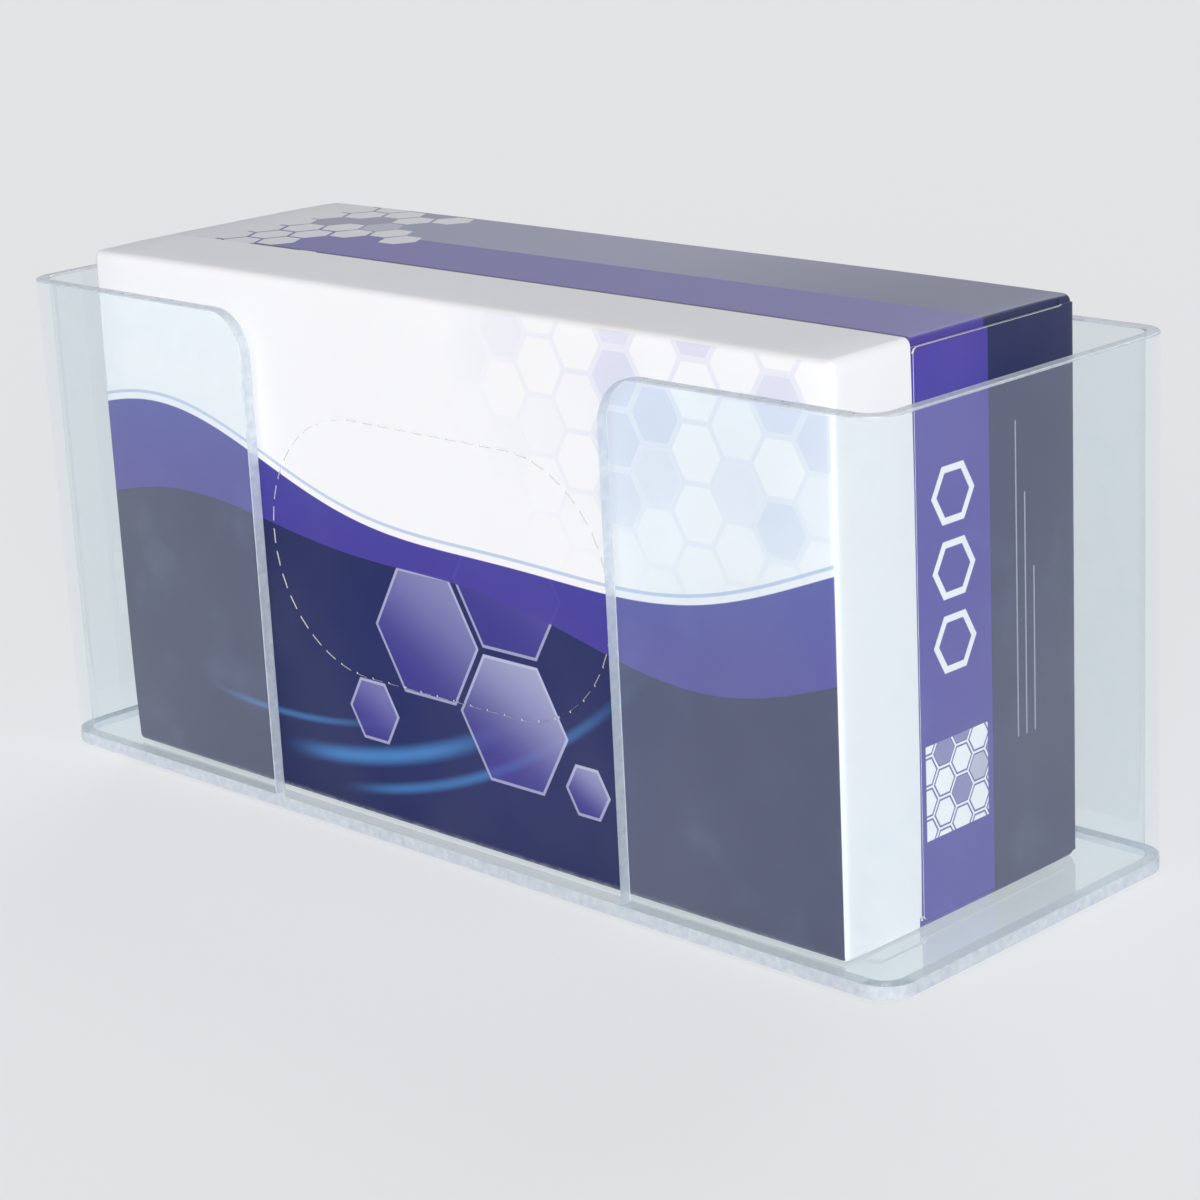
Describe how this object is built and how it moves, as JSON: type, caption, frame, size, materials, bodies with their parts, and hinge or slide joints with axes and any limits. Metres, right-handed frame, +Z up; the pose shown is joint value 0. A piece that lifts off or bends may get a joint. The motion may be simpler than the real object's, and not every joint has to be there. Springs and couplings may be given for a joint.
{
  "type": "disposable glove dispenser",
  "caption": "Clear open-top holder bent from sheet, with two front lips either side of a wide slot, holding a closed carton of disposable gloves.",
  "frame": {"origin": "middle of the holder's footprint, on the surface that it stands on", "axes": "+X along the holder to the right as seen from the slot, +Y from the slot to the back wall, +Z up"},
  "size_m": [0.277, 0.099, 0.1312],
  "materials": {
    "clear_sheet": "clear cast sheet with polished edges",
    "carton_board": "coated folding board, printed in fields of white, violet and slate"
  },
  "bodies": {
    "root": {"floor_plate": "clear_sheet", "wrap_wall": "clear_sheet", "glove_carton": "carton_board"}
  },
  "joints": []
}
